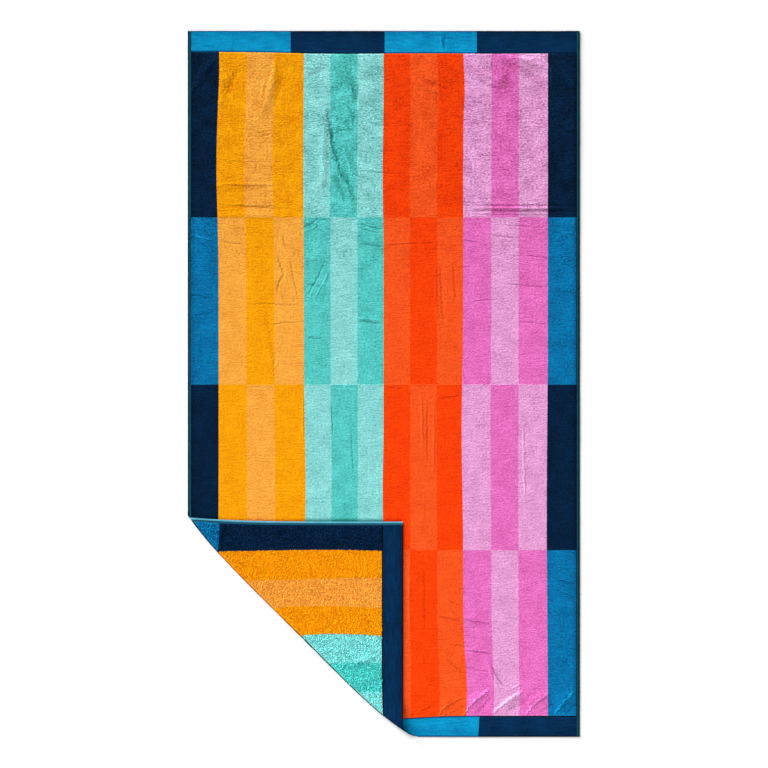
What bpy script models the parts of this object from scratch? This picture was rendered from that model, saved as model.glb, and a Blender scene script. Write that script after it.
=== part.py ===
"""Beach towel lying face up on a flat surface, with one corner folded over onto its face.

Metres, +Z up. +X points to the towel's right side hem and +Y to its top end hem. The origin is
on the surface, under the middle of the towel. "Flat" coordinates are those of the cloth before
its corner is folded: x and y in the same frame.
"""

import math

import bpy
import numpy as np
from mathutils import Vector
from mathutils.geometry import delaunay_2d_cdt

# The cloth: a 40 by 72 inch length, sheared velour on its face and terry loops on its reverse.
TOWEL_WIDTH = 1.016
TOWEL_LENGTH = 1.829
PILE_THICKNESS = 0.003
HEM_THICKNESS = 0.002
END_HEM_WIDTH = 0.055
SIDE_HEM_WIDTH = 0.009
HEM_STEP = 0.004

# The fold: a straight diagonal that cuts the same length off the left side and the bottom end.
# Towards its two ends the folded edge is drawn in, and the stiff hems hold the bend wider open.
FOLD_REACH = 0.554
FOLD_RADIUS = 0.005
LEFT_END_RADIUS = 0.009
BOTTOM_END_RADIUS = 0.011
END_RADIUS_POWER = 6
LEFT_END_PULL_IN = 0.014
BOTTOM_END_PULL_IN = 0.019
PULL_IN_POWER = 5

# The folded corner: how far it has slipped across the face, the air under it, and how soon it
# comes down from the bend.
FLAP_SLIP = 0.011
FLAP_SLIP_RUN = 0.040
FLAP_GAP = 0.001
FLAP_FALL = 0.060

# The mesh: how far apart the points lie in open cloth, along the fold and along a crease.
OPEN_SPACING = 0.045
FOLD_SPACING = 0.030
FOLD_STEPS = 8
FOLD_END_PASSES = 8
CREASE_SPACING = 0.022
CREASE_PROFILE = (-1.0, -0.5, 0.0, 0.5, 1.0)
CREASE_LEAST_STEPS = 3
LEAST_SPACING = 0.014
WELD_DISTANCE = 0.00002

# The share of a crease's length over which it rises at each end.
CREASE_TAPER = 1 / 3

CLOTH_COLOUR = (0.93, 0.36, 0.05, 1.0)
CLOTH_ROUGHNESS = 0.95

# Creases that stand up from the lying cloth. Each is a soft ridge from a start to an end point,
# bowed sideways to the left of its own direction, with a half width and a height.
CREASE_COLUMNS = ("layer", "x0", "y0", "x1", "y1", "bow", "half_width", "height")
CREASES = (
    # Fanned puckers below the top end hem.
    ("face", -0.438, 0.848, -0.496, 0.748, -0.006, 0.010, 0.0030),
    ("face", -0.278, 0.842, -0.334, 0.672, 0.012, 0.012, 0.0035),
    ("face", -0.212, 0.790, -0.153, 0.834, 0.005, 0.010, 0.0025),
    ("face", -0.127, 0.760, -0.080, 0.678, 0.006, 0.014, 0.0030),
    ("face", 0.093, 0.826, 0.187, 0.778, 0.003, 0.010, 0.0025),
    ("face", 0.068, 0.792, 0.158, 0.742, 0.002, 0.011, 0.0020),
    ("face", 0.250, 0.806, 0.318, 0.776, 0.003, 0.010, 0.0025),
    ("face", 0.314, 0.848, 0.487, 0.764, 0.020, 0.013, 0.0040),
    # The upright pair beside the deepest crease, in the first row of blocks.
    ("face", -0.158, 0.690, -0.160, 0.490, 0.003, 0.010, 0.0030),
    ("face", -0.122, 0.640, -0.058, 0.480, 0.008, 0.012, 0.0030),
    # Level creases where the towel was folded in its pack.
    ("face", -0.492, 0.513, -0.284, 0.513, 0.000, 0.008, 0.0020),
    ("face", 0.215, 0.454, 0.494, 0.455, 0.000, 0.009, 0.0030),
    ("face", -0.488, 0.436, -0.220, 0.434, 0.003, 0.009, 0.0018),
    ("face", -0.057, 0.361, 0.132, 0.359, 0.002, 0.009, 0.0020),
    # Shallow creases in the lower right.
    ("face", 0.137, -0.600, 0.288, -0.626, 0.004, 0.010, 0.0020),
    ("face", 0.202, -0.690, 0.306, -0.772, 0.016, 0.011, 0.0022),
    ("face", 0.442, -0.508, 0.494, -0.530, 0.003, 0.009, 0.0018),
    # Short puckers that lean into the bottom end hem.
    ("face", 0.142, -0.846, 0.190, -0.806, 0.003, 0.010, 0.0030),
    ("face", 0.202, -0.846, 0.268, -0.794, 0.004, 0.011, 0.0030),
    ("face", 0.306, -0.846, 0.358, -0.800, 0.003, 0.010, 0.0030),
    ("face", 0.368, -0.838, 0.432, -0.798, 0.004, 0.011, 0.0030),
    ("face", 0.448, -0.846, 0.488, -0.794, 0.003, 0.010, 0.0030),
    # Ripples of the folded corner, in the light band near the fold.
    ("flap", -0.118, -0.726, -0.016, -0.694, -0.008, 0.013, 0.0035),
    ("flap", -0.088, -0.766, -0.012, -0.752, -0.005, 0.012, 0.0025),
)

HALF_WIDTH = TOWEL_WIDTH / 2
HALF_LENGTH = TOWEL_LENGTH / 2
FOLD_HALF_LENGTH = FOLD_REACH / math.sqrt(2)
FOLD_OUTWARD = np.array([-1.0, -1.0]) / math.sqrt(2)
FOLD_ALONG = np.array([1.0, -1.0]) / math.sqrt(2)
FOLD_MIDDLE = np.array([FOLD_REACH / 2 - HALF_WIDTH, FOLD_REACH / 2 - HALF_LENGTH])
# A half turn takes pi radii of cloth and reaches out by one, and this is how much earlier it starts.
TURN_LEAD = math.pi / 2 - 1


def clear_scene():
    for obj in list(bpy.data.objects):
        bpy.data.objects.remove(obj)


def smooth_step(value):
    """0 below 0, 1 above 1, and a curve with level ends between them."""
    value = np.clip(value, 0.0, 1.0)
    return value * value * (3 - 2 * value)


def across_fold(points):
    """Distance out past the fold's diagonal, towards the corner, and distance along it."""
    from_middle = points - FOLD_MIDDLE
    return from_middle @ FOLD_OUTWARD, from_middle @ FOLD_ALONG


def from_fold(outward, along):
    """The flat point at these distances from the fold's middle."""
    return FOLD_MIDDLE + np.outer(outward, FOLD_OUTWARD) + np.outer(along, FOLD_ALONG)


def towards_end(along):
    """0 at the fold's middle and 1 at either end of it."""
    return np.clip(np.abs(along) / FOLD_HALF_LENGTH, 0.0, 1.0)


def fold_edge(along):
    """How far out the folded edge lies: on the diagonal at its middle, drawn in at both ends."""
    pull_in = np.where(along < 0, LEFT_END_PULL_IN, BOTTOM_END_PULL_IN)
    return -pull_in * towards_end(along) ** PULL_IN_POWER


def fold_radius(along):
    """The bend's radius, which opens towards the stiff hems at the fold's ends."""
    end_radius = np.where(along < 0, LEFT_END_RADIUS, BOTTOM_END_RADIUS)
    return FOLD_RADIUS + (end_radius - FOLD_RADIUS) * towards_end(along) ** END_RADIUS_POWER


def thickness_at(flat):
    """Full pile thickness inside the hems, and the flat-woven thickness on them."""
    from_side = HALF_WIDTH - np.abs(flat[:, 0]) - SIDE_HEM_WIDTH
    from_end = HALF_LENGTH - np.abs(flat[:, 1]) - END_HEM_WIDTH
    inside = np.minimum(from_side, from_end)
    return HEM_THICKNESS + (PILE_THICKNESS - HEM_THICKNESS) * smooth_step(inside / HEM_STEP + 0.5)


def crease_rows():
    return [dict(zip(CREASE_COLUMNS, row)) for row in CREASES]


def crease_frame(crease):
    """Start point, unit direction, unit normal to its left, and length of a crease."""
    start = np.array([crease["x0"], crease["y0"]])
    step = np.array([crease["x1"], crease["y1"]]) - start
    length = float(np.hypot(*step))
    direction = step / length
    return start, direction, np.array([-direction[1], direction[0]]), length


def bow_at(crease, part):
    """The sideways bow of a crease's crest, a parabola along its length."""
    return crease["bow"] * 4 * part * (1 - part)


def crease_height(points, layer):
    """Height of the creases of one layer: across each a raised cosine, along it a soft swell."""
    height = np.zeros(len(points))
    for crease in crease_rows():
        if crease["layer"] != layer:
            continue
        start, direction, left, length = crease_frame(crease)
        part = (points - start) @ direction / length
        aside = (points - start) @ left - bow_at(crease, np.clip(part, 0, 1))
        across = np.clip(aside / crease["half_width"], -1, 1)
        along = smooth_step(part / CREASE_TAPER) * smooth_step((1 - part) / CREASE_TAPER)
        ridge = crease["height"] * np.cos(across * math.pi / 2) ** 2 * along
        height = np.maximum(height, ridge)
    return height


def folded(flat):
    """Where the middle of the cloth's thickness lies, for each flat point.

    On the near side of the fold the cloth lies as it is. Then it turns up and back over a half
    circle, and past that it lies mirrored on the face, falling from the bend to a small gap.
    """
    half = thickness_at(flat) / 2
    outward, along = across_fold(flat)
    edge = fold_edge(along)
    radius = fold_radius(along)
    turned = (outward - edge - TURN_LEAD * radius) / radius
    angle = np.clip(turned, -math.pi / 2, math.pi / 2)
    bend_outward = edge + radius * (np.cos(angle) - 1)
    past = np.maximum((turned - math.pi / 2) * radius, 0.0)
    slip = FLAP_SLIP * smooth_step(past / FLAP_SLIP_RUN)
    outward_now = np.where(turned < -math.pi / 2, outward, bend_outward - past - slip)
    place = from_fold(outward_now, along)
    flap_lift = PILE_THICKNESS + FLAP_GAP
    fall = smooth_step(past / FLAP_FALL)
    turn_lift = radius * (1 + np.sin(angle))
    lift = turn_lift + (flap_lift - 2 * radius) * fall
    lift += np.where(turned < -math.pi / 2, crease_height(place, "face"), 0.0)
    lift += fall * crease_height(place, "flap")
    return np.column_stack([place, half + lift])


def evenly(start, end, spacing):
    """Points from start to end, both included, no further apart than the spacing."""
    count = max(int(math.ceil(np.linalg.norm(np.subtract(end, start)) / spacing)), 1)
    return np.linspace(start, end, count + 1)


def outline():
    """The flat cloth's rectangle, closed."""
    corners = [
        (-HALF_WIDTH, -HALF_LENGTH),
        (HALF_WIDTH, -HALF_LENGTH),
        (HALF_WIDTH, HALF_LENGTH),
        (-HALF_WIDTH, HALF_LENGTH),
    ]
    sides = [evenly(a, b, OPEN_SPACING) for a, b in zip(corners, corners[1:] + corners[:1])]
    return np.vstack(sides)


def hem_lines():
    """Both edges of the thickness step, along each side hem and each end hem."""
    lines = []
    for sign in (-1, 1):
        for step in (-HEM_STEP / 2, HEM_STEP / 2):
            x = sign * (HALF_WIDTH - SIDE_HEM_WIDTH + step)
            y = sign * (HALF_LENGTH - END_HEM_WIDTH + step)
            lines.append(evenly((x, -HALF_LENGTH), (x, HALF_LENGTH), OPEN_SPACING))
            lines.append(evenly((-HALF_WIDTH, y), (HALF_WIDTH, y), OPEN_SPACING))
    return lines


def fold_lines():
    """Lines along the bend at equal steps of its half turn, from the left side to the bottom."""
    lines = []
    for angle in np.linspace(-math.pi / 2, math.pi / 2, FOLD_STEPS + 1):
        ends = []
        for sign in (-1, 1):
            end = FOLD_HALF_LENGTH
            for _ in range(FOLD_END_PASSES):
                at = np.array([sign * end])
                outward = fold_edge(at) + fold_radius(at) * (TURN_LEAD + angle)
                end = FOLD_HALF_LENGTH - outward[0]
            ends.append(sign * end)
        along = evenly(ends[0], ends[1], FOLD_SPACING)
        outward = fold_edge(along) + fold_radius(along) * (TURN_LEAD + angle)
        line = from_fold(outward, along)
        line[0, 0] = -HALF_WIDTH
        line[-1, 1] = -HALF_LENGTH
        lines.append(line)
    return lines


def crease_lines():
    """The crest, the two feet and the two mid slopes of each crease, in flat coordinates."""
    lines = []
    for crease in crease_rows():
        start, direction, left, length = crease_frame(crease)
        part = np.linspace(0, 1, max(int(length / CREASE_SPACING), CREASE_LEAST_STEPS) + 1)
        for across in CREASE_PROFILE:
            aside = bow_at(crease, part) + across * crease["half_width"]
            line = start + np.outer(part * length, direction) + np.outer(aside, left)
            lines.append(unfolded(line) if crease["layer"] == "flap" else line)
    return lines


def unfolded(places):
    """The flat points whose cloth lies at these places on the folded corner."""
    outward, along = across_fold(places)
    flat_outward = 2 * fold_edge(along) + 2 * TURN_LEAD * fold_radius(along) - outward - FLAP_SLIP
    return from_fold(flat_outward, along)


def open_points(lines):
    """A staggered lattice over the open cloth, clear of every line."""
    taken = np.vstack(lines)
    columns = int(TOWEL_WIDTH / OPEN_SPACING)
    rows = int(TOWEL_LENGTH / OPEN_SPACING)
    points = []
    for row in range(1, rows):
        y = -HALF_LENGTH + row * TOWEL_LENGTH / rows
        shift = 0.5 if row % 2 else 0.0
        for column in range(1, columns):
            x = -HALF_WIDTH + (column + shift) * TOWEL_WIDTH / columns
            nearest = np.min(np.hypot(taken[:, 0] - x, taken[:, 1] - y))
            if abs(x) < HALF_WIDTH - LEAST_SPACING and nearest > LEAST_SPACING:
                points.append((x, y))
    return np.array(points)


def flat_triangles():
    """The flat cloth cut into triangles along its hems, its fold and its creases."""
    lines = [outline()] + hem_lines() + fold_lines() + crease_lines()
    edges = []
    first = 0
    for line in lines:
        edges += [(first + i, first + i + 1) for i in range(len(line) - 1)]
        first += len(line)
    points = np.vstack(lines + [open_points(lines)])
    vectors = [Vector(point) for point in points.tolist()]
    result = delaunay_2d_cdt(vectors, edges, [], 0, WELD_DISTANCE)
    return np.array([point[:] for point in result[0]]), result[2]


def fabric_material(name, colour, roughness):
    material = bpy.data.materials.new(name)
    material.use_nodes = True
    shader = material.node_tree.nodes["Principled BSDF"]
    shader.inputs["Base Color"].default_value = colour
    shader.inputs["Roughness"].default_value = roughness
    return material


def make_towel():
    """One sheet through the middle of the cloth, given its thickness by a Solidify modifier."""
    flat, triangles = flat_triangles()
    mesh = bpy.data.meshes.new("towel")
    mesh.from_pydata(folded(flat).tolist(), [], triangles)
    mesh.shade_smooth()
    towel = bpy.data.objects.new("towel", mesh)
    bpy.context.scene.collection.objects.link(towel)
    group = towel.vertex_groups.new(name="thickness")
    for index, thickness in enumerate(thickness_at(flat)):
        group.add([index], float(thickness / PILE_THICKNESS), "REPLACE")
    solidify = towel.modifiers.new("cloth thickness", "SOLIDIFY")
    solidify.thickness = PILE_THICKNESS
    solidify.offset = 0.0
    solidify.vertex_group = group.name
    mesh.materials.append(fabric_material("towel cloth", CLOTH_COLOUR, CLOTH_ROUGHNESS))
    return towel


clear_scene()
make_towel()
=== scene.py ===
"""Beach towel lying face up, with its bottom left corner folded over onto its face.

Metres, +Z up. +X points to the towel's right side and +Y to its top end. Weave coordinates follow
the threads of the flat cloth, and so does the UV map, which is in metres too. A table's column whose
name ends in mm is in millimetres.
"""

import math

import bpy
import numpy as np
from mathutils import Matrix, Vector


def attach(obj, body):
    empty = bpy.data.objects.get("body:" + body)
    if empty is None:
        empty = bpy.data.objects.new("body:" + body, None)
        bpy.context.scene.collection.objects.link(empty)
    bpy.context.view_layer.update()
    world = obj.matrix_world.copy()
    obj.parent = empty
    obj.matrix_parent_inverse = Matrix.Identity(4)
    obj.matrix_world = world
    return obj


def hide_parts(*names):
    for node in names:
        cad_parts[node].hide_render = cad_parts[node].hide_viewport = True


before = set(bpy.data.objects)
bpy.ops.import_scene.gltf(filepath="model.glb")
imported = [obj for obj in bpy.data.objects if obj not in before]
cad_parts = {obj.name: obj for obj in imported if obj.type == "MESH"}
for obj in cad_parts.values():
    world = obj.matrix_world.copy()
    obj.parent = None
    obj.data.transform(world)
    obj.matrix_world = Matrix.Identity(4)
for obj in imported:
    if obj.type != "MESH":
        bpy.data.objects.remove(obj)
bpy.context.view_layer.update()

# Cloth. One woven length of cotton, sheared to velour on its face and left in terry loops on its
# reverse. Its ends are woven flat, turned under and sewn, and its sides have a narrow hem. It lies
# face up, with the bottom left corner folded over.

TOWEL_WIDTH = 1.016
TOWEL_LENGTH = 1.829
HALF_WIDTH = TOWEL_WIDTH / 2
HALF_LENGTH = TOWEL_LENGTH / 2
PILE_THICKNESS = 0.003
HEM_THICKNESS = 0.002
END_HEM_WIDTH = 0.055
SIDE_HEM_WIDTH = 0.009
HEM_STEP = 0.004

# The fold turns over a corner that reaches this far along the side and the end. Its edge is drawn in
# and its bend opens towards the stiff hems, which hold up more of the cloth there.
FOLD_REACH = 0.554
FOLD_RADIUS = 0.005
LEFT_END_RADIUS = 0.009
BOTTOM_END_RADIUS = 0.011
END_RADIUS_POWER = 6
LEFT_END_PULL_IN = 0.014
BOTTOM_END_PULL_IN = 0.019
PULL_IN_POWER = 5
BEND_DRAW = 0.011
LEFT_END_HELD = 0.28
BOTTOM_END_HELD = 0.88
FLAP_GAP = 0.001
FLAP_FALL = 0.070

FOLD_HALF_LENGTH = FOLD_REACH / math.sqrt(2)
FOLD_OUTWARD = np.array([-1.0, -1.0]) / math.sqrt(2)
FOLD_ALONG = np.array([1.0, -1.0]) / math.sqrt(2)
FOLD_MIDDLE = np.array([FOLD_REACH / 2 - HALF_WIDTH, FOLD_REACH / 2 - HALF_LENGTH])

# The threads wander a little where the cloth has been pulled: each row moves them sideways and
# lengthways by a bell-shaped amount around one place.
WANDER_COLUMNS = ("x mm", "y mm", "reach_x mm", "reach_y mm", "shift_x mm", "shift_y mm")
WANDER = (
    (-380, 565, 160, 160, -6, 0),
    (-210, -260, 110, 180, 4.5, 0),
    (-5, 540, 90, 120, -2.5, 0),
    (0, -280, 60, 100, -2.5, 0),
    (207, 765, 90, 70, 4, 0),
    (207, -120, 90, 180, -4, 0),
    (213, -800, 110, 120, 10, 0),
    (425, -360, 70, 300, -3, 0),
    (-430, 820, 80, 90, 2, 0),
    (50, -860, 80, 60, 0, -6),
    (-430, -700, 50, 220, -7, 0),
    (-360, -800, 40, 120, -6, 0),
    (-285, -700, 40, 120, -5.5, 0),
    (-208, -740, 40, 140, -10.5, 0),
    (-139, -800, 30, 120, -5, 0),
    (-470, -440, 50, 50, 0, -4.5),
    (300, 860, 350, 80, 0, -4.5),
    (-130, 860, 160, 80, 0, -4),
)

# Creases that stand up from the lying cloth. Each is a soft ridge from a start to an end point,
# bowed sideways to the left of its own direction, with a half width and a height.
CREASE_COLUMNS = (
    "layer", "x0 mm", "y0 mm", "x1 mm", "y1 mm", "bow mm", "half_width mm", "height mm",
)
CREASES = (
    ("face", -438, 848, -496, 748, -6, 10, 3),
    ("face", -278, 842, -334, 672, 12, 14, 2.2),
    ("face", -212, 790, -153, 834, 5, 12, 1.6),
    ("face", -127, 760, -80, 678, 6, 14, 3),
    ("face", 93, 826, 187, 778, 3, 10, 2.5),
    ("face", 68, 792, 158, 742, 2, 11, 2),
    ("face", 250, 806, 318, 776, 3, 10, 2.5),
    ("face", 314, 848, 487, 764, 20, 13, 4),
    ("face", -158, 690, -160, 490, 3, 10, 3),
    ("face", -122, 640, -58, 480, 8, 12, 3),
    ("face", -492, 513, -284, 513, 0, 8, 2),
    ("face", 215, 454, 494, 455, 0, 9, 3),
    ("face", -488, 436, -220, 434, 3, 9, 1.8),
    ("face", -57, 361, 132, 359, 2, 9, 2),
    ("face", 137, -600, 288, -626, 4, 10, 2),
    ("face", 202, -690, 306, -772, 16, 11, 2.2),
    ("face", 442, -508, 494, -530, 3, 9, 1.8),
    ("face", 142, -846, 190, -806, 3, 10, 3),
    ("face", 202, -846, 268, -794, 4, 11, 3),
    ("face", 306, -846, 358, -800, 3, 10, 3),
    ("face", 368, -838, 432, -798, 4, 11, 3),
    ("face", 448, -846, 488, -794, 3, 10, 3),
    ("flap", -118, -726, -16, -694, -8, 13, 3.5),
    ("flap", -88, -766, -12, -752, -5, 12, 2.5),
)
CREASE_TAPER = 1 / 3

# Wrinkles of the face that are narrower than the creases. Each runs between two points like a
# crease. It rises, or sinks where the rise is below zero, and its tone paints it lighter or
# darker: a painted highlight on a ridge and painted shade in a trough.
WRINKLE_COLUMNS = (
    "x0 mm", "y0 mm", "x1 mm", "y1 mm", "bow mm", "half_width mm", "rise mm", "tone",
)
WRINKLES = (
    (-436, 852, -503, 748, 5, 9, 2.2, 0.10),
    (-464, 811, -500, 740, 3, 6, -1.5, -0.10),
    (-410, 811, -425, 704, -3, 14, 2, 0.06),
    (-373, 816, -402, 746, -5, 11, -2.5, -0.10),
    (-277, 848, -306, 738, 3, 8, 1.4, 0.08),
    (-264, 821, -290, 707, 8, 9, -1, -0.08),
    (-311, 795, -324, 707, 3, 8, 1, 0.06),
    (-334, 657, -301, 644, -3, 5, -1.2, -0.10),
    (-327, 637, -290, 647, 0, 4, -1, -0.06),
    (-422, 574, -285, 572, 0, 4, -0.8, -0.05),
    (-428, 513, -270, 509, 0, 4.5, -1.6, -0.13),
    (-428, 520, -280, 516, 0, 4, 1, 0.05),
    (-425, 459, -262, 457, 0, 5.5, -1.5, -0.16),
    (-420, 463, -223, 450, 0, 4, -0.9, -0.06),
    (-500, 387, -436, 374, -3, 3.5, 1.4, 0.20),
    (-498, 403, -448, 346, 3, 3.5, 1.2, 0.16),
    (-477, 364, -433, 348, 0, 3.5, -1.2, -0.10),
    (-428, 372, -355, 361, -3, 3.5, -1.3, -0.10),
    (-259, 385, -249, 348, -3, 4, -1.4, -0.12),
    (-210, 821, -145, 852, -5, 9, 1, 0.07),
    (-207, 800, -140, 823, -5, 8, -0.8, -0.07),
    (-104, 831, -70, 717, 10, 12, -2.5, -0.14),
    (-132, 748, -70, 759, -5, 8, 1, 0.05),
    (-143, 722, -132, 620, -3, 8.5, -2.6, -0.27),
    (-137, 660, -119, 572, -3, 7, -2.4, -0.25),
    (-124, 602, -98, 518, -3, 7.5, -2, -0.20),
    (-108, 556, -73, 460, 5, 8.5, -2, -0.20),
    (-128, 707, -120, 639, 0, 8, 1.2, 0.06),
    (-109, 608, -80, 525, 3, 8, 2.2, 0.08),
    (-143, 699, -67, 673, -3, 3.5, -1.5, -0.12),
    (-130, 657, -67, 660, -3, 3.5, -1.2, -0.10),
    (-132, 543, -96, 468, 3, 9, -1.8, -0.10),
    (-67, 785, -3, 761, -3, 3.5, 1.2, 0.12),
    (-42, 677, 0, 668, 0, 3.5, -1.3, -0.12),
    (-67, 603, -31, 598, 0, 3.5, -1.2, -0.10),
    (-70, 552, 3, 546, 0, 3.8, -1.5, -0.14),
    (-210, 403, -171, 429, -3, 4, -1.6, -0.13),
    (-176, 429, -143, 424, -3, 3.5, -1.4, -0.12),
    (-207, 395, -166, 416, -3, 3.5, 1.2, 0.08),
    (-70, 416, 3, 400, -3, 4, -1.8, -0.16),
    (-70, 406, 0, 390, -3, 3.5, -1.4, -0.12),
    (-67, 364, 0, 355, 0, 3.8, -1.6, -0.14),
    (-5, 355, 150, 363, 3, 3.8, -1.2, -0.11),
    (-5, 546, 73, 543, 0, 3.5, -1, -0.10),
    (88, 795, 179, 759, -3, 7, -2.2, -0.13),
    (104, 811, 184, 774, -3, 6, 1.6, 0.07),
    (86, 785, 145, 767, 0, 4, -1, -0.08),
    (145, 816, 148, 764, 0, 3.5, -1.2, -0.10),
    (137, 769, 139, 702, 0, 3.5, -1.2, -0.10),
    (200, 733, 277, 722, 0, 3.5, -1.2, -0.10),
    (246, 795, 277, 767, -3, 5, -2, -0.14),
    (272, 773, 316, 761, 0, 5, -2, -0.12),
    (259, 806, 301, 785, 0, 6, 1.6, 0.07),
    (280, 839, 283, 785, 0, 3.5, -1.2, -0.10),
    (320, 850, 405, 842, -4, 7, 2, 0.12),
    (385, 848, 434, 812, 10, 5.5, 2.4, 0.24),
    (434, 830, 435, 750, 0, 4, 1.2, 0.18),
    (296, 842, 402, 786, 4, 12, -2, -0.14),
    (362, 836, 426, 786, 4, 5, 1.2, 0.07),
    (436, 850, 498, 769, 0, 3, 0.8, 0.22),
    (161, 907, 159, 863, -3, 4, -1.4, -0.14),
    (148, 904, 149, 868, 0, 4, 1, 0.07),
    (213, 461, 500, 461, 0, 4.2, -2.6, -0.26),
    (213, 449, 500, 448, 0, 3.6, -2, -0.20),
    (213, 442, 500, 441, 0, 3.4, 1.6, 0.14),
    (213, 455, 500, 455, 0, 3.2, 1.4, 0.08),
    (272, 387, 355, 380, -3, 3.5, -1.5, -0.13),
    (207, 372, 246, 365, 0, 4, -1.6, -0.13),
    (301, 411, 425, 403, 0, 3.5, -1, -0.08),
    (428, 406, 503, 387, -3, 3.5, 1, 0.10),
    (-272, 333, -254, 281, -3, 5, -1.6, -0.12),
    (-254, 291, -277, 234, -3, 5, -1.4, -0.10),
    (-241, 328, -218, 218, -3, 4.5, -1.2, -0.08),
    (-308, 213, -277, 0, 3, 9, -0.9, -0.05),
    (-202, 221, -148, 330, -3, 3.8, -1.3, -0.11),
    (-207, 260, -140, 252, -3, 3.5, -1.2, -0.10),
    (-187, 213, -140, 296, -3, 3.5, 1, 0.06),
    (-70, 163, 0, 154, 0, 4.2, -2.2, -0.18),
    (-70, 172, 0, 164, 0, 4, 1.2, 0.06),
    (-202, 317, -166, 317, 0, 3.5, -1, -0.09),
    (150, 333, 161, 135, -5, 6, -1, -0.05),
    (135, 333, 145, 115, -5, 6, 0.9, 0.04),
    (179, 322, 184, 193, 3, 5, -0.9, -0.05),
    (-135, -41, -131, -140, 0, 4, -1, -0.08),
    (-210, -20, -209, -145, 0, 4, 1, 0.06),
    (-83, -119, -78, -239, 0, 4, -0.9, -0.06),
    (96, -10, 101, -176, 0, 4.5, 1, 0.08),
    (114, -28, 114, -223, 0, 4.5, -1, -0.08),
    (130, -41, 130, -249, 0, 4, 0.9, 0.06),
    (145, -39, 197, -33, 0, 4, -1.6, -0.14),
    (3, -10, 57, -15, 0, 3.5, -1, -0.06),
    (360, -88, 366, -322, 0, 4, 0.9, 0.07),
    (169, -561, 200, -576, -3, 3.5, -1.1, -0.08),
    (176, -589, 212, -612, -3, 3.6, -1.5, -0.12),
    (207, -611, 280, -625, 0, 3.6, -1.7, -0.15),
    (140, -602, 197, -615, 0, 3.5, -1.1, -0.08),
    (158, -674, 215, -683, 0, 3.6, -1.3, -0.10),
    (210, -692, 285, -701, 0, 3.6, -1.8, -0.15),
    (277, -724, 316, -789, -3, 4, -2.2, -0.18),
    (270, -735, 303, -794, -3, 4.5, 1.4, 0.07),
    (161, -706, 218, -758, -3, 4.5, -1.5, -0.10),
    (215, -737, 280, -748, 0, 3.5, -1, -0.07),
    (443, -506, 500, -519, -3, 3.8, -1.5, -0.14),
    (446, -527, 487, -548, 0, 3.5, 1, 0.07),
    (142, -866, 161, -832, 3, 4.5, 1.5, 0.36),
    (150, -844, 208, -810, 3, 4.5, 1.5, 0.30),
    (168, -857, 212, -830, -3, 7, -0.8, -0.08),
    (202, -866, 244, -812, 3, 5, 1.7, 0.40),
    (228, -830, 280, -788, 3, 5.2, 1.6, 0.32),
    (232, -857, 282, -812, -3, 8, -0.9, -0.09),
    (276, -860, 368, -792, 5, 6.4, 2.1, 0.42),
    (312, -854, 378, -815, -3, 9, -1, -0.09),
    (327, -794, 358, -776, 0, 4, 1.4, 0.12),
    (364, -862, 432, -798, 5, 5.8, 1.9, 0.38),
    (400, -856, 441, -824, -3, 8, -0.9, -0.08),
    (436, -864, 500, -792, 3, 5.4, 1.8, 0.40),
    (466, -857, 505, -822, -3, 7, -0.8, -0.08),
    (88, -849, 124, -831, 0, 4, 1, 0.06),
    (322, 852, 318, 725, 0, 28, -1, -0.13),
    (-300, -3.2, 530, -3.2, 0, 2.6, 0.6, 0.13),
    (-508, 230, -440, 215, 4, 4, -1.2, -0.10),
    (-500, 180, -438, 186, -4, 4, -1.2, -0.10),
    (-355, 205, -215, 200, 3, 3.6, -1.2, -0.09),
    (-300, 150, -220, 158, 3, 3.6, -1, -0.08),
    (-205, 120, -150, 112, 2, 3.8, -1.2, -0.11),
    (360, 330, 436, 322, 3, 3.8, -1.3, -0.12),
    (300, 262, 436, 250, -3, 3.6, -1.2, -0.10),
    (220, 210, 300, 216, 3, 3.6, -1.1, -0.10),
    (340, 160, 432, 150, 3, 3.6, -1.1, -0.09),
    (445, 240, 505, 228, 3, 3.8, -1.1, -0.10),
    (106, -457, 109, -664, 0, 5, -0.8, -0.05),
    (65, -444, 67, -664, 0, 5, 0.7, 0.03),
)
WRINKLE_LAYERS = 6
WRINKLE_TAPER = 1 / 4
# How far past its half width the grid's points know of a wrinkle, a little more than a cell.
WRINKLE_CAPTURE = 0.013

# The unevenness of the lying cloth: size of a hollow, height, and the seed it is drawn with.
SWELL_COLUMNS = ("size mm", "height mm", "seed")
SWELLS = (
    (110, 1.2, 3),
    (45, 0.7, 5),
    (20, 0.3, 8),
)
SWELL_LATTICE = 256
# The upper end is more crumpled than the rest.
CALM_SHARE = 0.45
CRUMPLED_FROM = 0.25
CRUMPLED_FULL = 0.60


def smooth_step(value):
    """0 below 0, 1 above 1, and a curve with level ends between them."""
    value = np.clip(value, 0.0, 1.0)
    return value * value * (3 - 2 * value)


def table_rows(columns, rows):
    """Each row of a table as a dictionary by column name, its millimetres turned into metres."""
    return [
        {
            name.removesuffix(" mm"): value / 1000 if name.endswith(" mm") else value
            for name, value in zip(columns, row)
        }
        for row in rows
    ]


def across_fold(points):
    """Distance out past the fold's diagonal, towards the corner, and distance along it."""
    from_middle = points - FOLD_MIDDLE
    return from_middle @ FOLD_OUTWARD, from_middle @ FOLD_ALONG


def from_fold(outward, along):
    """The flat point at these distances from the fold's middle."""
    return FOLD_MIDDLE + np.outer(outward, FOLD_OUTWARD) + np.outer(along, FOLD_ALONG)


def towards_end(along):
    """0 at the fold's middle and 1 at either end of it."""
    return np.clip(np.abs(along) / FOLD_HALF_LENGTH, 0.0, 1.0)


def fold_edge(along):
    """How far out the folded edge lies: on the diagonal at its middle, drawn in at both ends."""
    pull_in = np.where(along < 0, LEFT_END_PULL_IN, BOTTOM_END_PULL_IN)
    return -pull_in * towards_end(along) ** PULL_IN_POWER


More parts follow.
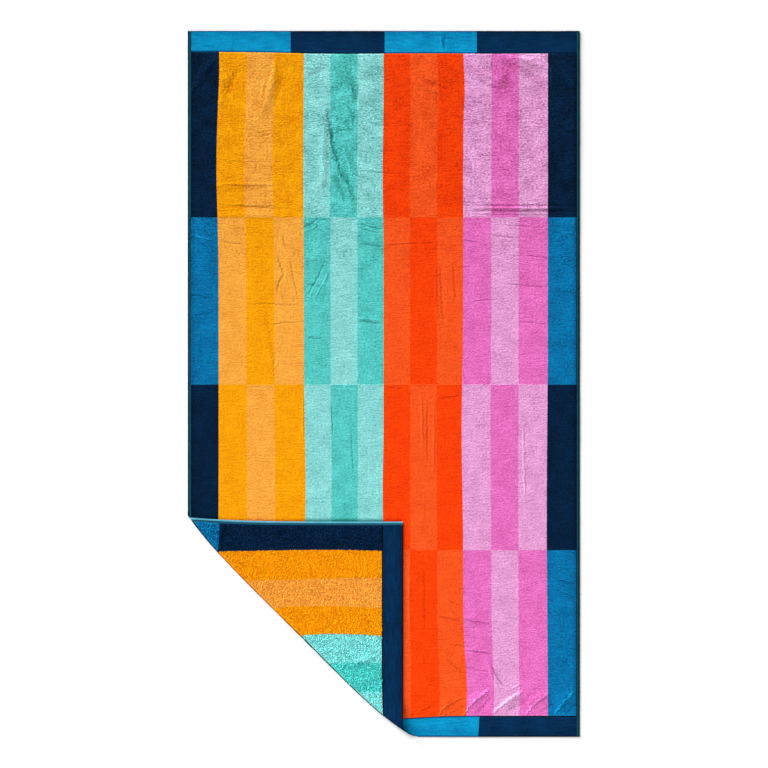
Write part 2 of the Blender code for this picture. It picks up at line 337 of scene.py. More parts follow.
def fold_radius(along):
    """The bend's radius, which opens towards the stiff hems at the fold's ends."""
    end_radius = np.where(along < 0, LEFT_END_RADIUS, BOTTOM_END_RADIUS)
    return FOLD_RADIUS + (end_radius - FOLD_RADIUS) * towards_end(along) ** END_RADIUS_POWER


def bend_arc(along):
    """The cloth that the bend takes up: half a circle, less what its thickness squeezes out.

    At its ends it takes up more, by twice the held share of how far the edge is drawn in there, and
    so the folded corner's hems stay straight.
    """
    held = np.where(along < 0, LEFT_END_HELD, BOTTOM_END_HELD)
    return math.pi * fold_radius(along) - BEND_DRAW - 2 * held * fold_edge(along)


def turn_at(weave):
    """How far round the bend a place is, in radians, from the middle of the half circle."""
    outward, along = across_fold(wandered(weave))
    begun = outward - fold_edge(along) + fold_radius(along)
    return (begun / bend_arc(along) - 0.5) * math.pi


def inside_hems(weave):
    """Distance from the nearest hem's inner edge, positive in the pile and negative on the hem."""
    from_side = HALF_WIDTH - np.abs(weave[:, 0]) - SIDE_HEM_WIDTH
    from_end = HALF_LENGTH - np.abs(weave[:, 1]) - END_HEM_WIDTH
    return np.minimum(from_side, from_end)


def thickness_at(weave):
    """Full pile thickness inside the hems, and the flat-woven thickness on them."""
    step = smooth_step(inside_hems(weave) / HEM_STEP + 0.5)
    return HEM_THICKNESS + (PILE_THICKNESS - HEM_THICKNESS) * step


def along_crease(points, crease):
    """Share of the way along a crease, distance to the left of it and distance past its ends."""
    start = np.array([crease["x0"], crease["y0"]])
    step = np.array([crease["x1"], crease["y1"]]) - start
    length = np.hypot(*step)
    direction = step / length
    left = np.array([-direction[1], direction[0]])
    part = (points - start) @ direction / length
    held = np.clip(part, 0, 1)
    aside = (points - start) @ left - crease["bow"] * 4 * held * (1 - held)
    return part, aside, np.abs(part - held) * length


def tapered(part, taper):
    """1 along most of a crease, and down to 0 at both its ends."""
    return smooth_step(part / taper) * smooth_step((1 - part) / taper)


def crease_height(points, layer):
    """Height of the creases of one layer: across each a raised cosine, along it a soft swell."""
    height = np.zeros(len(points))
    for crease in table_rows(CREASE_COLUMNS, CREASES):
        if crease["layer"] != layer:
            continue
        part, aside, _ = along_crease(points, crease)
        across = np.clip(aside / crease["half_width"], -1, 1)
        swell = crease["height"] * np.cos(across * math.pi / 2) ** 2 * tapered(part, CREASE_TAPER)
        height = np.maximum(height, swell)
    return height


def wrinkle_layers(points, open_face):
    """For each layer and point: half widths from its nearest wrinkle, its rise and painted shade tone.

    A wrinkle goes into the first layer in which it comes near no other, so that the distance stays
    an even slope around it and can be read between the grid's points.
    """
    layers = np.zeros((WRINKLE_LAYERS, len(points), 3))
    nearest = np.full((WRINKLE_LAYERS, len(points)), np.inf)
    taken = np.zeros((WRINKLE_LAYERS, len(points)), dtype=bool)
    for wrinkle in table_rows(WRINKLE_COLUMNS, WRINKLES):
        part, aside, beyond = along_crease(points, wrinkle)
        gap = np.hypot(aside, beyond)
        near = gap < wrinkle["half_width"] + WRINKLE_CAPTURE
        free = [layer for layer in range(WRINKLE_LAYERS) if not (taken[layer] & near).any()]
        layer = free[0] if free else WRINKLE_LAYERS - 1
        taken[layer] |= near
        closer = gap < nearest[layer]
        nearest[layer][closer] = gap[closer]
        share = tapered(part, WRINKLE_TAPER) * near * open_face
        values = np.column_stack([
            aside / wrinkle["half_width"], wrinkle["rise"] * share, wrinkle["tone"] * share,
        ])
        layers[layer][closer] = values[closer]
    return layers


def soft_noise(points, size, seed):
    """Random heights from 0 to 1 on a square lattice of this size, joined by smooth steps."""
    lattice = np.random.default_rng(seed).random((SWELL_LATTICE, SWELL_LATTICE))
    cell = points / size + SWELL_LATTICE / 2
    corner = np.floor(cell).astype(int)
    part = smooth_step(cell - corner)
    x, y = (corner % (SWELL_LATTICE - 1)).T
    low = lattice[x, y] * (1 - part[:, 0]) + lattice[x + 1, y] * part[:, 0]
    high = lattice[x, y + 1] * (1 - part[:, 0]) + lattice[x + 1, y + 1] * part[:, 0]
    return low * (1 - part[:, 1]) + high * part[:, 1]


def swell_height(flat):
    """The low unevenness of cloth that lies loose, the sum of noises of falling size."""
    crumpled = smooth_step((flat[:, 1] - CRUMPLED_FROM) / (CRUMPLED_FULL - CRUMPLED_FROM))
    share = CALM_SHARE + (1 - CALM_SHARE) * crumpled
    total = np.zeros(len(flat))
    for row in table_rows(SWELL_COLUMNS, SWELLS):
        total += row["height"] * soft_noise(flat, row["size"], row["seed"])
    return total * share


def wandered(weave):
    """Where the threads lie in the flat cloth: their woven place moved by the table of wander."""
    moved = weave.copy()
    for row in table_rows(WANDER_COLUMNS, WANDER):
        away_x = (weave[:, 0] - row["x"]) / row["reach_x"]
        away_y = (weave[:, 1] - row["y"]) / row["reach_y"]
        bell = np.exp(-away_x ** 2 - away_y ** 2)
        held_x = smooth_step((HALF_WIDTH - np.abs(weave[:, 0])) / END_HEM_WIDTH)
        held_y = smooth_step((HALF_LENGTH - np.abs(weave[:, 1])) / END_HEM_WIDTH)
        moved[:, 0] += row["shift_x"] * bell * held_x
        moved[:, 1] += row["shift_y"] * bell * held_y
    return moved


def folded(weave):
    """Where the middle of the cloth's thickness lies, for each point of the weave.

    On the near side of the fold the cloth lies as it is. Then it turns up and back over a half
    circle, and past that it lies mirrored on the face, falling from the bend to a small gap.
    """
    flat = wandered(weave)
    half = thickness_at(weave) / 2
    outward, along = across_fold(flat)
    edge = fold_edge(along)
    radius = fold_radius(along)
    begun = outward - edge + radius
    arc = bend_arc(along)
    angle = math.pi * (np.clip(begun / arc, 0.0, 1.0) - 0.5)
    bend_outward = edge + radius * (np.cos(angle) - 1)
    past = np.maximum(begun - arc, 0.0)
    lying = begun < 0
    outward_now = np.where(lying, outward, bend_outward - past)
    place = from_fold(outward_now, along)
    flap_lift = PILE_THICKNESS + FLAP_GAP
    fall = smooth_step(past / FLAP_FALL)
    turn_lift = radius * (1 + np.sin(angle))
    lift = turn_lift + (flap_lift - 2 * radius) * fall
    open_share = smooth_step(-begun / FLAP_FALL)
    lift += np.where(lying, crease_height(place, "face"), 0.0)
    lift += open_share * under_flap(place) * swell_height(place)
    lift += fall * crease_height(place, "flap")
    return np.column_stack([place, half + lift])


def under_flap(place):
    """1 on the open face and 0 where the folded corner lies on it."""
    flap_right = FOLD_REACH - HALF_WIDTH
    flap_top = FOLD_REACH - HALF_LENGTH
    clear = np.maximum(place[:, 0] - flap_right, place[:, 1] - flap_top)
    return smooth_step(clear / FLAP_FALL)


# The shade beside the folded corner: how far it reaches above the corner's upper edge, and how many
# times narrower it is along the right edge.
FLAP_SHADE_REACH = 0.013
FLAP_SHADE_NARROWING = 9.0
FLAP_BEYOND = (BEND_DRAW + 2 * FOLD_RADIUS - math.pi * FOLD_RADIUS) / math.sqrt(2)


def beside_flap(place):
    """Distance from the folded corner's upper edge, or a multiple of that from its right edge."""
    above = place[:, 1] - (FOLD_REACH - HALF_LENGTH + FLAP_BEYOND)
    right = place[:, 0] - (FOLD_REACH - HALF_WIDTH + FLAP_BEYOND)
    return np.maximum(above, right * FLAP_SHADE_NARROWING)


# The grid of points: fine squares at the corner that is folded, so that their diagonals run along
# the fold, wider ones in the calm middle, and close lines at every edge and seam.
CORNER_CELLS = 88
SIDE_STEP = 0.008
MIDDLE_STEP = 0.0105
TOP_STEP = 0.0055
TOP_FROM = 0.42
EDGE_LINES = (0.0, 0.0003, 0.0008, 0.0016)
SEAM_LINES = (-0.0024, -0.0012, -0.0005, 0.0, 0.0005, 0.0012, 0.0024)
LINE_CLEARANCE = 0.0018
BEND_CLOSENESS = 0.92
BEND_REACH = 0.045
BEND_SHIFT_REACH = 0.060
RIM_HALF_THICKNESS = 0.0004


def even_lines(start, end, step):
    """Evenly spaced values from start to end, both included, about a step apart."""
    return np.linspace(start, end, int(round((end - start) / step)) + 1)


def grid_lines(plain, half, hem):
    """Plain grid lines with close ones added at both outer edges and both hem seams."""
    close = []
    for side in (-1, 1):
        close += [side * (half - away) for away in EDGE_LINES]
        close += [side * (half - hem + away) for away in SEAM_LINES]
    close = np.array(close)
    clear = np.min(np.abs(plain[:, None] - close[None, :]), axis=1) > LINE_CLEARANCE
    return np.unique(np.round(np.concatenate([plain[clear], close]), 6))


def drawn_to_bend(weave):
    """The grid's points drawn closer together across the bend, and along the hems at its ends.

    The distance from the bend shrinks to a fifth at the bend itself and is kept far from it. On the
    side hem a point moves along the side alone, on the end hem along the end, and between them by
    shares of both, so that every seam keeps its place.
    """
    outward, along = across_fold(weave)
    centre = fold_edge(along) - fold_radius(along) + bend_arc(along) / 2
    closer = -outward * BEND_CLOSENESS * np.exp(-np.abs(outward) / BEND_REACH)
    closer += centre * np.exp(-(outward / BEND_SHIFT_REACH) ** 2)
    from_side = np.maximum(weave[:, 0] + HALF_WIDTH - SIDE_HEM_WIDTH, 0.0)
    from_end = np.maximum(weave[:, 1] + HALF_LENGTH - END_HEM_WIDTH, 0.0)
    share = np.where(from_end > 0, from_side / np.maximum(from_side + from_end, 1e-9), 1.0)
    move = -math.sqrt(2) * closer
    return weave + np.column_stack([move * share, move * (1 - share)])


def cell_corners(columns, rows):
    """Index of the four corners of each cell of a grid that is stored column by column."""
    first = np.arange(columns * rows).reshape(columns, rows)[:-1, :-1].ravel()
    return first, first + rows, first + rows + 1, first + 1


def surface_normals(points, columns, rows):
    """Unit normals of a grid surface, from the cross product of its two directions."""
    grid = points.reshape(columns, rows, 3)
    normal = np.cross(np.gradient(grid, axis=0), np.gradient(grid, axis=1)).reshape(-1, 3)
    return normal / np.linalg.norm(normal, axis=1, keepdims=True)


def rounded_half_thickness(weave):
    """Half the cloth's thickness, running out in a quarter round at its outer edges."""
    half = thickness_at(weave) / 2
    from_edge = np.minimum(HALF_WIDTH - np.abs(weave[:, 0]), HALF_LENGTH - np.abs(weave[:, 1]))
    short = np.clip(1 - from_edge / (HEM_THICKNESS / 2), 0.0, 1.0)
    return RIM_HALF_THICKNESS + (half - RIM_HALF_THICKNESS) * np.sqrt(1 - short ** 2)


def mesh_from(name, points, triangles, materials, material_index=None, uv=None):
    """A smooth-shaded mesh object from arrays, with a UV map in metres if one is given."""
    mesh = bpy.data.meshes.new(name)
    mesh.vertices.add(len(points))
    mesh.vertices.foreach_set("co", np.ascontiguousarray(points, dtype=np.float32).ravel())
    mesh.loops.add(triangles.size)
    mesh.loops.foreach_set("vertex_index", triangles.ravel().astype(np.int32))
    mesh.polygons.add(len(triangles))
    mesh.polygons.foreach_set("loop_start", np.arange(0, triangles.size, 3, dtype=np.int32))
    for material in materials:
        mesh.materials.append(material)
    if material_index is not None:
        mesh.polygons.foreach_set("material_index", material_index.astype(np.int32))
    if uv is not None:
        layer = mesh.uv_layers.new(name="weave")
        layer.data.foreach_set("uv", uv[triangles.ravel()].astype(np.float32).ravel())
    mesh.update(calc_edges=True)
    mesh.validate()
    mesh.shade_smooth()
    piece = bpy.data.objects.new(name, mesh)
    bpy.context.scene.collection.objects.link(piece)
    return piece


def place_node(tree, kind, inputs=None, **settings):
    """A shader node with its settings made, and its inputs given as values or linked sockets."""
    node = tree.nodes.new(kind)
    for name, value in settings.items():
        setattr(node, name, value)
    for key, value in (inputs or {}).items():
        if isinstance(value, bpy.types.NodeSocket):
            tree.links.new(value, node.inputs[key])
        else:
            node.inputs[key].default_value = value
    return node


def math_node(tree, operation, first, second=0.0, third=0.0, clamp=False):
    """The result of one sum, from values or sockets."""
    values = {0: first, 1: second, 2: third}
    node = place_node(tree, "ShaderNodeMath", values, operation=operation, use_clamp=clamp)
    return node.outputs[0]


def new_group(name, inputs, outputs):
    """An empty shader node group with sockets named by kind, and its inner input and output nodes."""
    tree = bpy.data.node_groups.new(name, "ShaderNodeTree")
    for in_out, sockets in (("INPUT", inputs), ("OUTPUT", outputs)):
        for label, kind in sockets.items():
            tree.interface.new_socket(name=label, in_out=in_out, socket_type=f"NodeSocket{kind}")
    return tree, tree.nodes.new("NodeGroupInput"), tree.nodes.new("NodeGroupOutput")


def group_node(tree, group, inputs):
    """The outputs of a group placed in a material."""
    return place_node(tree, "ShaderNodeGroup", inputs, node_tree=group).outputs


def yarn(red, green, blue):
    """A dyed yarn's colour, from display values of 0 to 255 to shaders' linear ones, by sRGB's curve."""
    values = np.array([red, green, blue]) / 255
    linear = np.where(values <= 0.04045, values / 12.92, ((values + 0.055) / 1.055) ** 2.4)
    return (*linear.tolist(), 1.0)


YARNS = {
    "navy": yarn(4, 31, 59),
    "blue": yarn(7, 112, 166),
    "yellow": yarn(248, 160, 6),
    "pale yellow": yarn(247, 167, 62),
    "aqua": yarn(84, 199, 192),
    "pale aqua": yarn(135, 214, 211),
    "red": yarn(249, 65, 6),
    "pale red": yarn(247, 85, 30),
    "pink": yarn(228, 109, 188),
    "pale pink": yarn(227, 154, 208),
    "hem navy": yarn(4, 43, 79),
    "hem blue": yarn(9, 143, 193),
    "trim": yarn(90, 176, 198),
    "selvedge": yarn(16, 86, 97),
    "thread": yarn(24, 92, 128),
}

# Stripes across the width, from the left side: each one's width and its yarn in the rows whose
# sides are navy, and in the rows between them.
STRIPE_COLUMNS = ("width mm", "in_navy_rows", "in_blue_rows")
STRIPES = (
    (80, "navy", "blue"),
    (72, "yellow", "pale yellow"),
    (72, "pale yellow", "yellow"),
    (77, "yellow", "pale yellow"),
    (69, "pale aqua", "aqua"),
    (70, "aqua", "pale aqua"),
    (67.5, "pale aqua", "aqua"),
    (69, "red", "pale red"),
    (70, "pale red", "red"),
    (67, "red", "pale red"),
    (73, "pale pink", "pink"),
    (71, "pink", "pale pink"),
    (75.5, "pale pink", "pink"),
    (83, "navy", "blue"),
)
# Rows along the length, from the bottom: the height at which each ends, and whether it is navy.
ROW_COLUMNS = ("ends_at", "navy_sides")
ROWS = ((-0.4307, 0.0), (-0.0020, 1.0), (0.4315, 0.0), (HALF_LENGTH, 1.0))
# Blocks of the end hems, from the left side: where each ends, and its yarn.
HEM_BLOCK_COLUMNS = ("ends_at", "yarn")
HEM_BLOCKS = (
    (-0.2415, "hem blue"),
    (0.0022, "hem navy"),
    (0.2405, "hem blue"),
    (HALF_WIDTH, "hem navy"),
)
# Lumps in the noise that leaves the stripes' edges ragged.
RAGGED_PER_METRE = 420.0


def edges_passed(tree, place, ends):
    """How many of the bands' ends, in metres, a place has passed."""
    count = 0.0
    for end in ends:
        count = math_node(tree, "ADD", math_node(tree, "GREATER_THAN", place, end), count)
    return count


def band_colour(tree, number, colours):
    """The colour of the band with this number, from 0."""
    share = math_node(tree, "MULTIPLY_ADD", number, 1 / len(colours), 0.5 / len(colours))
    ramp = place_node(tree, "ShaderNodeValToRGB", {"Fac": share})
    ramp.color_ramp.interpolation = "CONSTANT"
    elements = ramp.color_ramp.elements
    elements.remove(elements[1])
    elements[0].position = 0.0
    elements[0].color = colours[0]
    for place, colour in enumerate(colours[1:], start=1):
        elements.new(place / len(colours)).color = colour
    return ramp.outputs["Color"]


def noise_node(tree, place, per_metre, detail):
    """The outputs of a noise of this many lumps a metre."""
    settings = {"Vector": place, "Scale": per_metre, "Detail": detail}
    return place_node(tree, "ShaderNodeTexNoise", settings).outputs


def build_stripe_group():
    """Colour of the striped pile by its place in the weave; the reverse swaps the two tones."""
    tree, entry, result = new_group(
        "striped pile", {"Weave": "Vector", "Ragged": "Float", "Reverse": "Float"}, {"Colour": "Color"},
    )
    weave = entry.outputs["Weave"]
    noise = noise_node(tree, weave, RAGGED_PER_METRE, 2.0)["Color"]
    spreads = place_node(tree, "ShaderNodeSeparateColor", {"Color": noise}).outputs
    parts = place_node(tree, "ShaderNodeSeparateXYZ", {"Vector": weave}).outputs
    places = []
    for axis, colour in (("X", "Red"), ("Y", "Green")):
        spread = math_node(tree, "SUBTRACT", spreads[colour], 0.5)
        places.append(math_node(tree, "MULTIPLY_ADD", spread, entry.outputs["Ragged"], parts[axis]))
    stripes = table_rows(STRIPE_COLUMNS, STRIPES)
    ends = np.cumsum([row["width"] for row in stripes]) - HALF_WIDTH
    number = edges_passed(tree, places[0], ends[:-1].tolist())
    navy_rows = band_colour(tree, number, [YARNS[row["in_navy_rows"]] for row in stripes])
    blue_rows = band_colour(tree, number, [YARNS[row["in_blue_rows"]] for row in stripes])
    rows = table_rows(ROW_COLUMNS, ROWS)
    row_number = edges_passed(tree, places[1], [row["ends_at"] for row in rows[:-1]])
    kinds = band_colour(tree, row_number, [(row["navy_sides"],) * 3 + (1.0,) for row in rows])
    kind = place_node(tree, "ShaderNodeSeparateColor", {"Color": kinds}).outputs["Red"]
    swapped = math_node(tree, "SUBTRACT", kind, entry.outputs["Reverse"])
    seen = math_node(tree, "ABSOLUTE", swapped)
    tree.links.new(mixed_colour(tree, seen, blue_rows, navy_rows), result.inputs["Colour"])
    return tree


# The grain of cotton cloth, as noises: patches where the pile leans one way, lines along the
# threads, crumbs of pile that clings together, single tufts, and ripples across the threads. Depth
# is how much each one lightens and darkens the cloth, and stretch how much longer it is along them.
GRAIN_COLUMNS = ("name", "per_metre", "stretch", "detail", "height_share")
GRAINS = (
    ("Patch", 24.0, 1.0, 2.0, 0.0),
    ("Line", 230.0, 9.0, 2.0, 0.3),
    ("Crumb", 170.0, 0.45, 3.0, 1.0),
    ("Tuft", 600.0, 1.0, 2.0, 0.4),
    ("Ripple", 36.0, 0.2, 1.0, 0.5),
)
SMALLEST_TONE = 0.25
# How a yarn's bright parts hold their strength in the shade.
WEAK_PART_EXPONENT = 1.40
HUE_HOLD = 0.95
WARM_HOLD = 0.40
# How far wrinkles stray, in half widths, how often, how deep they are, and how strong their painted
# shade is.
WRINKLE_STRAY = 2.2
WRINKLE_STRAY_PER_METRE = 130.0
WRINKLE_DEPTH = 1.25
WRINKLE_PAINTED_SHADE_CONTRAST = 1.7


def build_grain_group():
    """Tone and height of a cotton surface: 1 plus the sum of its noises, each times its depth."""
    grains = table_rows(GRAIN_COLUMNS, GRAINS)
    depths = {f"{grain['name']} Depth": "Float" for grain in grains}
    tree, entry, result = new_group(
        "cotton grain", {"Weave": "Vector"} | depths, {"Tone": "Float", "Height": "Float"},
    )
    tone = 1.0
    height = 0.0
    for grain in grains:
        along = place_node(tree, "ShaderNodeMapping", {
            "Vector": entry.outputs["Weave"], "Scale": (1.0, 1 / grain["stretch"], 1.0),
        })
        noise = noise_node(tree, along.outputs["Vector"], grain["per_metre"], grain["detail"])["Fac"]
        spread = math_node(tree, "SUBTRACT", noise, 0.5)
        tone = math_node(tree, "MULTIPLY_ADD", spread, entry.outputs[f"{grain['name']} Depth"], tone)
        height = math_node(tree, "MULTIPLY_ADD", spread, grain["height_share"], height)
    tree.links.new(math_node(tree, "MAXIMUM", tone, SMALLEST_TONE), result.inputs["Tone"])
    tree.links.new(height, result.inputs["Height"])
    return tree


def build_seam_group():
    """How far a place in the weave lies from the outer edge, the end hem's seam and the side's."""
    tree, entry, result = new_group(
        "edges and seams",
        {"Weave": "Vector"},
        {"Edge": "Float", "End Seam": "Float", "Side Seam": "Float"},
    )
    parts = place_node(tree, "ShaderNodeSeparateXYZ", {"Vector": entry.outputs["Weave"]}).outputs
    from_side = math_node(tree, "SUBTRACT", HALF_WIDTH, math_node(tree, "ABSOLUTE", parts["X"]))
    from_end = math_node(tree, "SUBTRACT", HALF_LENGTH, math_node(tree, "ABSOLUTE", parts["Y"]))
    tree.links.new(math_node(tree, "MINIMUM", from_side, from_end), result.inputs["Edge"])
    tree.links.new(math_node(tree, "SUBTRACT", from_end, END_HEM_WIDTH), result.inputs["End Seam"])
    tree.links.new(math_node(tree, "SUBTRACT", from_side, SIDE_HEM_WIDTH), result.inputs["Side Seam"])
    return tree


def build_wrinkle_group():
    """Rise in metres and painted shade and highlight of the face's wrinkles, from the grid's own
    attributes.

    Across a wrinkle both follow a bell: 1 less the square of the half widths from its line, squared.
    """
    tree, entry, result = new_group("fine wrinkles", {}, {"Rise": "Float", "Tone": "Float"})
    place = place_node(tree, "ShaderNodeTexCoord").outputs["Object"]
    stray = noise_node(tree, place, WRINKLE_STRAY_PER_METRE, 2.0)["Fac"]
    aside = math_node(tree, "MULTIPLY_ADD", stray, WRINKLE_STRAY, -WRINKLE_STRAY / 2)
    rise = 0.0
    tone = 0.0
    for layer in range(WRINKLE_LAYERS):
        known = place_node(tree, "ShaderNodeAttribute", attribute_name=f"wrinkle {layer}")
        parts = place_node(tree, "ShaderNodeSeparateXYZ", {"Vector": known.outputs["Vector"]}).outputs
        across = math_node(tree, "ADD", parts["X"], aside)
        near = math_node(tree, "SUBTRACT", 1.0, math_node(tree, "MULTIPLY", across, across), clamp=True)
        bell = math_node(tree, "MULTIPLY", near, near)
        rise = math_node(tree, "MULTIPLY_ADD", parts["Y"], bell, rise)
        tone = math_node(tree, "MULTIPLY_ADD", parts["Z"], bell, tone)
    tree.links.new(math_node(tree, "MULTIPLY", rise, WRINKLE_DEPTH), result.inputs["Rise"])
    tree.links.new(math_node(tree, "MULTIPLY_ADD", tone, WRINKLE_PAINTED_SHADE_CONTRAST, 1.0), result.inputs["Tone"])
    return tree


def build_shaded_yarn_group():
    """A yarn's colour made lighter or darker. Its bright parts change least, so shade keeps hue.

    Each part is multiplied by the tone raised to an exponent, which falls as the part grows, and
    falls for warm yarns, whose red is stronger than their blue.
    """
    tree, entry, result = new_group(
        "shaded yarn", {"Colour": "Color", "Tone": "Float"}, {"Colour": "Color"},
    )
    parts = place_node(tree, "ShaderNodeSeparateColor", {"Color": entry.outputs["Colour"]}).outputs
    shaded = {}
    warmth = math_node(tree, "SUBTRACT", parts["Red"], parts["Blue"], clamp=True)
    share = math_node(tree, "MULTIPLY_ADD", warmth, -WARM_HOLD, 1.0)
    for name in ("Red", "Green", "Blue"):
        exponent = math_node(tree, "MULTIPLY_ADD", parts[name], -HUE_HOLD, WEAK_PART_EXPONENT)
        exponent = math_node(tree, "MULTIPLY", exponent, share)
        factor = math_node(tree, "POWER", entry.outputs["Tone"], exponent)
        shaded[name] = math_node(tree, "MULTIPLY", parts[name], factor)
    joined = place_node(tree, "ShaderNodeCombineColor", shaded)
    tree.links.new(joined.outputs["Color"], result.inputs["Colour"])
    return tree


def eased(tree, distance, near, far, start, end):
    """A number that runs smoothly from its start at the near distance to its end at the far one."""
    node = place_node(tree, "ShaderNodeMapRange", {
        "Value": distance, "From Min": near, "From Max": far, "To Min": start, "To Max": end,
    }, interpolation_type="SMOOTHSTEP")
    return node.outputs["Result"]


def product(tree, factors):
    """The product of several sockets or values."""
    total = factors[0]
    for factor in factors[1:]:
        total = math_node(tree, "MULTIPLY", total, factor)
    return total


def mixed_colour(tree, factor, first, second):
    """Two colours mixed by a factor. The node keeps its colour sockets after those of other kinds."""
    node = place_node(tree, "ShaderNodeMix", {0: factor, 6: first, 7: second}, data_type="RGBA")
    return node.outputs[2]


COTTON_ROUGHNESS = 0.95
COTTON_SPECULAR = 0.03
COTTON_SHEEN = 0.02


def cloth_material(name):
    """A matt cotton material with its tree, its shader and the cloth's weave coordinates."""
    material = bpy.data.materials.new(name)
    material.use_nodes = True
    tree = material.node_tree
    shader = tree.nodes["Principled BSDF"]
    shader.inputs["Roughness"].default_value = COTTON_ROUGHNESS
    shader.inputs["Specular IOR Level"].default_value = COTTON_SPECULAR
    shader.inputs["Sheen Weight"].default_value = COTTON_SHEEN
    weave = place_node(tree, "ShaderNodeUVMap", uv_map="weave")
    return material, tree, shader, weave.outputs["UV"]


def finish(tree, shader, colour, tone, grain, depth, rise=0.0):
    """A yarn's colour at its tone, and as bump the grain, times its depth in metres, and a rise."""
    shaded = group_node(tree, shaded_yarn_group, {"Colour": colour, "Tone": tone})["Colour"]
    tree.links.new(shaded, shader.inputs["Base Color"])
    height = math_node(tree, "MULTIPLY_ADD", grain, depth, rise)
    bump = place_node(tree, "ShaderNodeBump", {"Height": height, "Distance": 1.0, "Strength": 1.0})
    tree.links.new(bump.outputs["Normal"], shader.inputs["Normal"])


def grain_of(tree, weave, patch, line, crumb, tuft, ripple=0.0):
    """The cotton grain placed in a material with its own depths."""
    return group_node(tree, grain_group, {
        "Weave": weave,
        "Patch Depth": patch,
        "Line Depth": line,
        "Crumb Depth": crumb,
        "Tuft Depth": tuft,
        "Ripple Depth": ripple,
    })


# The velour's grain where the cloth is most rumpled, and how deep its bump is there.
VELOUR_CRUMB = 2.90
VELOUR_RIPPLE = 0.80
VELOUR_DEPTH = 0.0036


def velour_material():
    """The sheared face: soft, matt, more rumpled at the upper end, a painted highlight at end seams."""
    material, tree, shader, weave = cloth_material("sheared velour")
    stripes = group_node(tree, stripe_group, {"Weave": weave, "Ragged": 0.0010, "Reverse": 0.0})
    lengthways = place_node(tree, "ShaderNodeSeparateXYZ", {"Vector": weave}).outputs["Y"]
    rumpled = eased(tree, lengthways, near=0.15, far=0.62, start=0.55, end=1.0)
    grain = grain_of(
        tree,
        weave,
        patch=rumpled,
        line=0.25,
        crumb=math_node(tree, "MULTIPLY", rumpled, VELOUR_CRUMB),
        tuft=1.80,
        ripple=math_node(tree, "MULTIPLY", rumpled, VELOUR_RIPPLE),
    )
    wrinkles = group_node(tree, wrinkle_group, {})
    seams = group_node(tree, seam_group, {"Weave": weave})
    # Painted highlight on the pile's edge at the end seams, and painted shade along the side seams.
    seam_highlight = eased(tree, seams["End Seam"], near=0.0005, far=0.0040, start=1.50, end=1.0)
    side_shade = eased(tree, seams["Side Seam"], near=0.0, far=0.014, start=0.72, end=1.0)
    beside = place_node(tree, "ShaderNodeAttribute", attribute_name="beside flap").outputs["Fac"]
    flap_shade = eased(tree, beside, near=0.0, far=FLAP_SHADE_REACH, start=0.25, end=1.0)
    tone = product(tree, [grain["Tone"], wrinkles["Tone"], seam_highlight, side_shade, flap_shade])
    depth = math_node(tree, "MULTIPLY", rumpled, VELOUR_DEPTH)
    finish(tree, shader, stripes["Colour"], tone, grain["Height"], depth, wrinkles["Rise"])
    return material


GROUND_PAINTED_SHADE = 0.80


def terry_ground_material():
    """The ground between the reverse's loops, with painted shade deep among them and round the bend."""
    material, tree, shader, weave = cloth_material("terry ground")
    stripes = group_node(tree, stripe_group, {"Weave": weave, "Ragged": 0.0030, "Reverse": 1.0})
    grain = grain_of(tree, weave, patch=0.30, line=0.20, crumb=1.20, tuft=0.60)
    normal = place_node(tree, "ShaderNodeNewGeometry").outputs["Normal"]
    upward = place_node(tree, "ShaderNodeSeparateXYZ", {"Vector": normal}).outputs["Z"]
    level = math_node(tree, "ABSOLUTE", upward)
    # Painted shade round the bend, where the cloth turns sideways, rising to a lighter tone where it
    # lies level.
    bend_shade = eased(tree, level, near=0.76, far=0.92, start=0.10, end=1.30)
    tone = product(tree, [grain["Tone"], GROUND_PAINTED_SHADE, bend_shade])
    finish(tree, shader, stripes["Colour"], tone, grain["Height"], depth=0.0020)
    return material


def end_hem_material(name, reverse):
    """The flat-woven end hem: blocks on its face, plain navy on its reverse, painted shade at its edges.
    """
    material, tree, shader, weave = cloth_material(name)
    sideways = place_node(tree, "ShaderNodeSeparateXYZ", {"Vector": weave}).outputs["X"]
    blocks = table_rows(HEM_BLOCK_COLUMNS, HEM_BLOCKS)
    number = edges_passed(tree, sideways, [row["ends_at"] for row in blocks[:-1]])
    names = ["hem navy"] * len(blocks) if reverse else [row["yarn"] for row in blocks]
    colour = band_colour(tree, number, [YARNS[name] for name in names])
    quarter_turn = (0.0, 0.0, math.pi / 2)
    across = place_node(tree, "ShaderNodeMapping", {"Vector": weave, "Rotation": quarter_turn})
    grain = grain_of(tree, across.outputs["Vector"], patch=0.50, line=0.90, crumb=0.90, tuft=0.80)
    wrinkles = group_node(tree, wrinkle_group, {})
    seams = group_node(tree, seam_group, {"Weave": weave})
    # Painted shade at the turned outer edge and towards it, and a painted shadow under the pile's edge.
    turned_edge_shade = eased(tree, seams["Edge"], near=0.0008, far=0.0045, start=0.30, end=1.0)
    rounded_edge_shade = eased(tree, seams["Edge"], near=0.0, far=0.035, start=0.82, end=1.0)
    under_pile_shadow = eased(tree, seams["End Seam"], near=-0.0048, far=-0.0018, start=1.0, end=0.22)
    tone = product(tree, [grain["Tone"], wrinkles["Tone"], turned_edge_shade, rounded_edge_shade, under_pile_shadow])
    finish(tree, shader, colour, tone, grain["Height"], 0.0006, wrinkles["Rise"])
    return material


SIDE_SHADE_WIDTH = 0.0018


